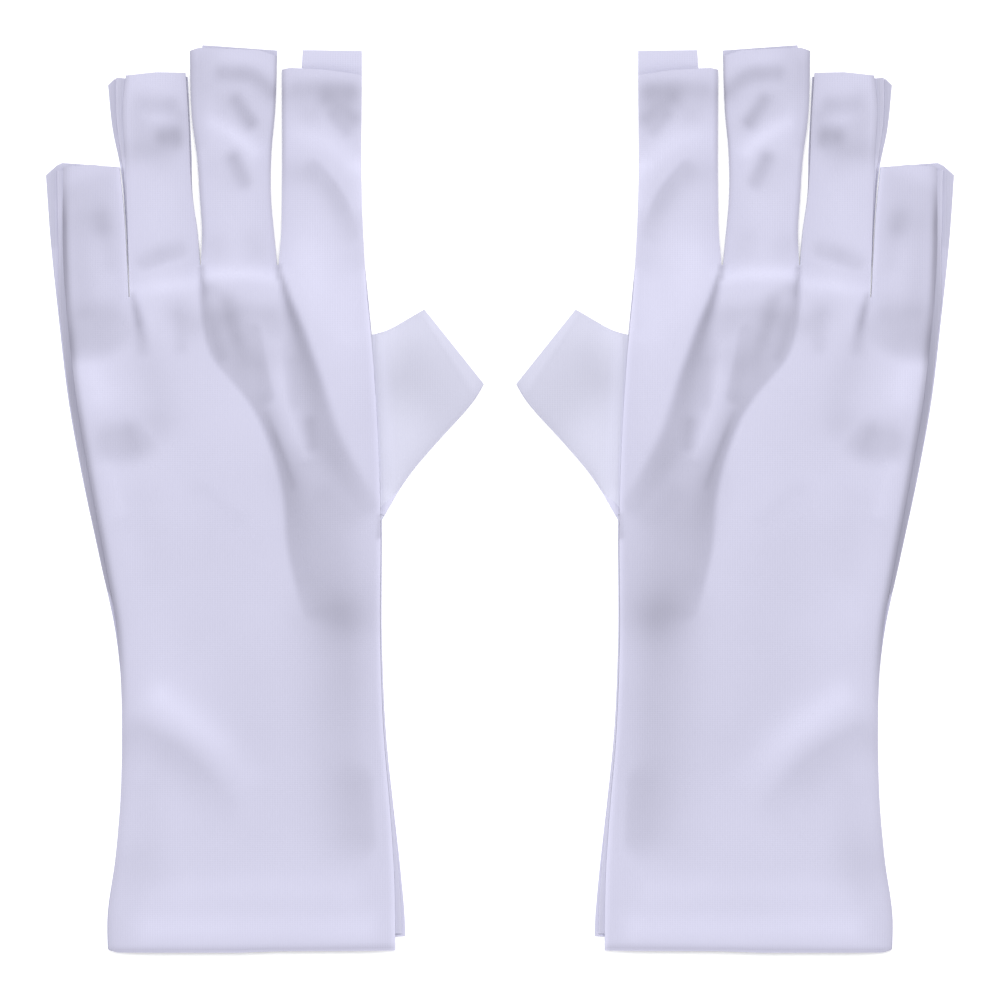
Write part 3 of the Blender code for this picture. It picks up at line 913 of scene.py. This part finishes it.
def knit(name, colour):
    """Fine stretch knit: ribs and stitches in the bump, slightly uneven dye, and painted shade."""
    material = bpy.data.materials.new(name)
    material.use_nodes = True
    tree = material.node_tree
    tree.nodes.clear()
    place_of = node(tree, "ShaderNodeTexCoord").outputs["Object"]
    split = node(tree, "ShaderNodeSeparateXYZ", values={"Vector": place_of})
    x, y = Value(tree, split.outputs["X"]), Value(tree, split.outputs["Y"])
    rib = (x * (2 * pi / RIB)).wave()
    stitch = (y * (2 * pi / STITCH) + rib.size() * STITCH_BEND).wave()
    cloud = node(tree, "ShaderNodeTexNoise", values={
        "Vector": place_of, "Scale": CLOUDS, "Detail": 3.0})
    fibre = node(tree, "ShaderNodeTexNoise", values={
        "Vector": place_of, "Scale": FIBRES, "Detail": 2.0})
    height = rib * 0.5 + stitch * 0.35 + Value(tree, fibre.outputs["Fac"]) * 0.5
    bump = node(tree, "ShaderNodeBump", values={
        "Height": height, "Strength": BUMP_STRENGTH, "Distance": BUMP_HEIGHT})
    shade = node(tree, "ShaderNodeAttribute", {"attribute_name": "shade"})
    uneven = (Value(tree, cloud.outputs["Fac"]) - 0.5) * UNEVEN_DYE + rib * RIB_SHADE
    # the mix towards the deep colour: painted shade from the mesh, the dye's unevenness and a plain
    # share
    depth = Value(tree, shade.outputs["Fac"]) + uneven + PLAIN_SHADE
    tone = node(tree, "ShaderNodeMix", {"data_type": "RGBA"},
                {0: depth, 6: (*colour, 1.0), 7: (*LAVENDER_DEEP_AND_SHADE, 1.0)})
    rough = ROUGHNESS + (Value(tree, cloud.outputs["Fac"]) - 0.5) * UNEVEN_ROUGHNESS
    shader = node(tree, "ShaderNodeBsdfPrincipled", values={
        "Base Color": tone.outputs[2], "Roughness": rough, "Normal": bump.outputs[0],
        "Sheen Weight": SHEEN, "Sheen Roughness": SHEEN_ROUGHNESS, "Specular IOR Level": GLOSS})
    node(tree, "ShaderNodeOutputMaterial", values={"Surface": shader.outputs[0]})
    return material


MATERIALS = {
    "back_cloth": knit("back_knit", (0.563, 0.557, 0.702)),
    "palm_cloth": knit("palm_knit", (0.55, 0.545, 0.685)),
    # the strips' lavender is a touch darker, as painted shade for their place between the panels
    "strip_cloth": knit("strip_knit", (0.54, 0.535, 0.67)),
    "thumb_cloth": knit("thumb_knit", (0.56, 0.56, 0.68)),
}
print("materials:", sorted(MATERIALS))
# %% [markdown]
# Each strip now gets its path. Its reach is the share of the step that the fold covers where
# the palm panel stands out, and minus a few millimetres where the strip folds inwards.

# %% Strips along the edges
INWARD, SEAM_INWARD = -3.5, -2.0
STRIP_THICK = 0.3
SEAM_GAP = 0.1
UNDER_BACK = EDGE_HEIGHT - CLOTH - SEAM_GAP
ON_PALM = PALM_TOP + SEAM_GAP
PATH_STEP = 1.5
TIP_GAP = 0.8
SHOWN_FROM, SHOWN_OVER, SHOWN_SHARE = 84, 12, 0.72
# painted shade on the strips, and painted light on some in the slit between little and ring fingers
STRIP_SHADE, STRIP_PAINTED_LIGHT = 0.1, -0.4


def strip(side, name, path, outward, reach, shade):
    """A folded strip along a path of draft points."""
    count = len(path)
    flip = SIDES[side]
    mesh = bpy.data.meshes.new(f"{side}_{name}")
    points = placed(np.column_stack([path, np.zeros(count)]), side)
    mesh.from_pydata([tuple(p) for p in points], [(k, k + 1) for k in range(count - 1)], [])
    step = np.gradient(path, axis=0)
    step /= np.hypot(step[:, 0], step[:, 1])[:, None]
    normal = np.column_stack([step[:, 1] * outward * flip, -step[:, 0] * outward, np.zeros(count)])
    layer = mesh.attributes.new("outward", "FLOAT_VECTOR", "POINT")
    layer.data.foreach_set("vector", normal.astype(np.float32).ravel())
    write_values(mesh, "reach", np.asarray(reach, float) * MM)
    write_values(mesh, "start", (ON_PALM + STRIP_THICK / 2) * MM)
    write_values(mesh, "rise", (UNDER_BACK - ON_PALM - STRIP_THICK) * MM)
    write_values(mesh, "shade", shade)
    piece = new_object(f"{side}_{name}", mesh)
    sweep = piece.modifiers.new("strip", "NODES")
    sweep.node_group = STRIP_TREE
    sweep[INPUTS["Points Across"]] = POINTS_ACROSS
    sweep[INPUTS["Cloth"]] = MATERIALS["strip_cloth"]
    return finished(piece, STRIP_THICK, 0)


def outer_reach(y):
    """How far the outer strip's fold shows beyond the back panel's edge."""
    shown = np.clip((y - SHOWN_FROM) / SHOWN_OVER, 0, 1)
    return INWARD * (1 - shown) + SHOWN_SHARE * inset(y) * shown


strips = {}
path = edge_path(back_outer, 1.5, LITTLE_CROTCH, PATH_STEP)
# painted shade on the outer strip, deepest where its fold lies in the shaded gap under the back
# panel's edge
dark = np.interp(path[:, 1], (84, 96, 112, 125, 150, 173), (0.0, 0.50, 0.50, 0.42, 0.46, 0.27))
strips["outer_side_strip"] = (path, -1, outer_reach(path[:, 1]), dark)
path = edge_path(back_thumb_side, 5.0, SEAM_LOW[1], PATH_STEP)
reach = 0.6 * (palm_thumb_side(path[:, 1]) - path[:, 0])
strips["thumb_side_strip"] = (path, 1, reach, 0.0)
path = edge_path(back_thumb_side, SEAM_HIGH[1], CROTCH, PATH_STEP)
strips["index_side_strip"] = (path, 1, INWARD, STRIP_SHADE)
# the little finger's outer strip carries on that painted shade; in the slit between little and ring
# fingers the strips get painted light
for name in FINGER_NAMES:
    left, right, tip = BACK[name]
    path = edge_path(left, ROOTS[name], tip[0][1] - TIP_GAP, PATH_STEP)
    y = path[:, 1]
    reach, dark = INWARD, STRIP_SHADE
    if name == "little":
        reach = outer_reach(y) * np.interp(y, (173, 185), (1.0, 0.45))
        dark = np.interp(y, (173, 184, 196), (0.27, 0.22, 0.08))
    if name == "ring":
        reach = 0.5 * np.clip(left(y) - PALM["ring"][0](y), 0, 9)
        dark = np.interp(y, (203, 211), (STRIP_PAINTED_LIGHT, 0.14))
    strips[f"{name}_little_side_strip"] = (path, -1, reach, dark)
    path = edge_path(right, ROOTS[name], tip[-1][1] - TIP_GAP, PATH_STEP)
    dark = STRIP_PAINTED_LIGHT if name == "little" else STRIP_SHADE
    strips[f"{name}_thumb_side_strip"] = (path, 1, INWARD, dark)
path = along_path(sleeve_low, np.linspace(0.03, 0.98, 30))
# painted light by the seam's root, turning to the strips' painted shade
dark = np.linspace(-0.3, STRIP_SHADE, len(path))
strips["thumb_lower_side_strip"] = (path, 1, SEAM_INWARD, dark)
for side in SIDES:
    for label, (path, outward, reach, shade) in strips.items():
        pieces[side][label] = strip(side, label, path, outward, reach, shade)
print("strips a glove:", len(strips))

# %% [markdown]
# At the bottom of each slit the two neighbouring finger strips are one piece, folded round the
# crotch. It is a small U of cloth that stands between the panels.


# %% Crotch strips
U_LEG, U_MARGIN, U_DROP, U_LEAST = 3.0, 0.6, 0.9, 0.25


def crotch_strip(side, name, x_left, x_right, y):
    """A little U of strip round the bottom of a slit."""
    turn = np.linspace(0, pi, 9)
    centre, half = (x_left + x_right) / 2, max((x_right - x_left) / 2, U_LEAST)
    bottom = np.column_stack([centre - (half + U_MARGIN) * np.cos(turn),
                              y - U_DROP - U_MARGIN * np.sin(turn)])
    down, up = np.linspace(y + U_LEG, y, 3), np.linspace(y, y + U_LEG, 3)
    left_leg = np.column_stack([np.full(3, bottom[0, 0]), down])
    right_leg = np.column_stack([np.full(3, bottom[-1, 0]), up])
    path = np.vstack([left_leg, bottom, right_leg])
    return strip(side, name, path, 1, 0.0, STRIP_SHADE)


CROTCHES = (("ring", "little"), ("middle", "ring"), ("index", "middle"))
for side in SIDES:
    for little_side, thumb_side in CROTCHES:
        root = ROOTS[thumb_side]
        name = f"crotch_strip_{little_side}_{thumb_side}"
        a, b = float(BACK[thumb_side][1](root)), float(BACK[little_side][0](root))
        pieces[side][name] = crotch_strip(side, name, a, b, root)
print("crotch strips a glove:", len(CROTCHES))
# %% [markdown]
# ## What moves with what
#
# The hand's sheets cross the wrist fold, a finger's sheets cross that finger's fold, and the
# thumb's cross its seam. Each piece gets its cloth and its place baked into its mesh, a few strips
# are put on the hand's body, and the imported solids that the pieces stand for are hidden.

# %% Cloths, places, attachments and replaced solids
WRIST_ZONE = 9.0
FINGER_ZONE = 12.0
THUMB_ZONE = 5.0
SEAM_OUT = np.array([SEAM_HIGH[1] - SEAM_LOW[1], SEAM_LOW[0] - SEAM_HIGH[0]])
SEAM_OUT /= np.hypot(*SEAM_OUT)


def across_fold(piece, side, part):
    """Bakes the piece's place into its mesh. Where its fold would start and end is worked out but
    not used.
    """
    if part == "cuff":
        start, end = (0, WRIST + WRIST_ZONE), (0, WRIST - WRIST_ZONE)
    elif part == "thumb":
        start = np.array(SEAM_LOW)
        end = start + SEAM_OUT * THUMB_ZONE
    else:
        start, end = (0, ROOTS[part]), (0, ROOTS[part] + FINGER_ZONE)
    place(start[0], start[1], 0, side)
    place(end[0], end[1], 0, side)
    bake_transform(piece)


def dress(piece, slot_name):
    """Gives a piece its cloth."""
    piece.data.materials.clear()
    piece.data.materials.append(MATERIALS[slot_name])


for side in SIDES:
    mine = pieces[side]
    for label, piece in mine.items():
        dress(piece, "strip_cloth" if "strip" in label else "_".join(label.split("_")[-2:]))
        if label in ("back_cloth", "palm_cloth", "outer_side_strip", "thumb_side_strip"):
            across_fold(piece, side, "cuff")
            stem = label.replace("cloth", "panel")
            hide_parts(f"{side}_hand_{stem}", f"{side}_cuff_{stem}")
        elif label == "index_side_strip":
            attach(piece, f"{side}_hand")
            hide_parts(f"{side}_hand_index_side_strip")
        elif label.startswith("crotch_strip"):
            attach(piece, f"{side}_hand")
            first, second = label.split("_")[2:]
            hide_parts(f"{side}_crotch_strip_{first}_{second}")
        elif label.startswith("thumb"):
            across_fold(piece, side, "thumb")
            solid = "thumb_sleeve" if label == "thumb_cloth" else "thumb_lower_side_strip"
            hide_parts(f"{side}_{solid}")
        else:
            across_fold(piece, side, label.split("_")[0])
            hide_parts(f"{side}_{label.replace('cloth', 'panel')}")
    sleeve = mine["thumb_cloth"]
print("pieces:", sum(len(mine) for mine in pieces.values()))

# %% [markdown]
# ## Table, light and camera
#
# The pair lies on a plain white table and is seen from straight above. Light comes evenly from
# all round, with a broad lamp overhead and a long low lamp on each side, so that the folds are
# drawn by soft shade, deepened by the painted shade on the cloth, and the table stays white.

# %% The stage
FLOOR_SIZE = 3.0
FLOOR_DROP = 0.0002
bpy.ops.mesh.primitive_plane_add(size=FLOOR_SIZE, location=(0, 0, -FLOOR_DROP))
floor = bpy.context.object
floor.name = "table_top"
white = bpy.data.materials.new("white_table")
white.use_nodes = True
WHITE = {"Base Color": (0.9, 0.9, 0.9, 1), "Roughness": 0.9, "Specular IOR Level": 0.1,
         "Emission Color": (1, 1, 1, 1), "Emission Strength": 0.25}
for name, value in WHITE.items():
    white.node_tree.nodes["Principled BSDF"].inputs[name].default_value = value
floor.data.materials.append(white)


def lamp(name, where, size, power):
    """A soft rectangular lamp that looks at the middle of the table."""
    data = bpy.data.lights.new(name, "AREA")
    data.shape = "RECTANGLE"
    data.size, data.size_y = size
    data.energy = power
    light = new_object(name, data)
    light.location = where
    aim = Vector((0, 0, 0)) - Vector(where)
    light.rotation_euler = aim.to_track_quat("-Z", "Y").to_euler()
    print(name, "lamp:", power, "W")


lamp("overhead", (0, 0.25, 1.4), (0.7, 0.5), 13.0)
lamp("left_side", (-1.1, 0.15, 0.45), (0.9, 0.5), 7.0)
lamp("right_side", (1.1, 0.15, 0.45), (0.9, 0.5), 7.0)
world = bpy.data.worlds.new("soft_room")
world.use_nodes = True
background = world.node_tree.nodes["Background"]
background.inputs["Color"].default_value = (1, 1, 1, 1)
background.inputs["Strength"].default_value = 0.5
bpy.context.scene.world = world
bpy.context.scene.view_settings.view_transform = "Standard"

# %% The camera
VIEW_WIDTH = 0.2646
CAMERA_HEIGHT = 2.0
SENSOR = 36.0
camera_data = bpy.data.cameras.new("overhead_camera")
camera_data.sensor_width = SENSOR
camera_data.lens = SENSOR * CAMERA_HEIGHT / VIEW_WIDTH
camera_data.clip_end = 20
camera = new_object("overhead_camera", camera_data)
camera.location = (0, -0.0004, CAMERA_HEIGHT)
bpy.context.scene.camera = camera
print(f"camera {CAMERA_HEIGHT} m above the table, {camera_data.lens:.0f} mm lens")
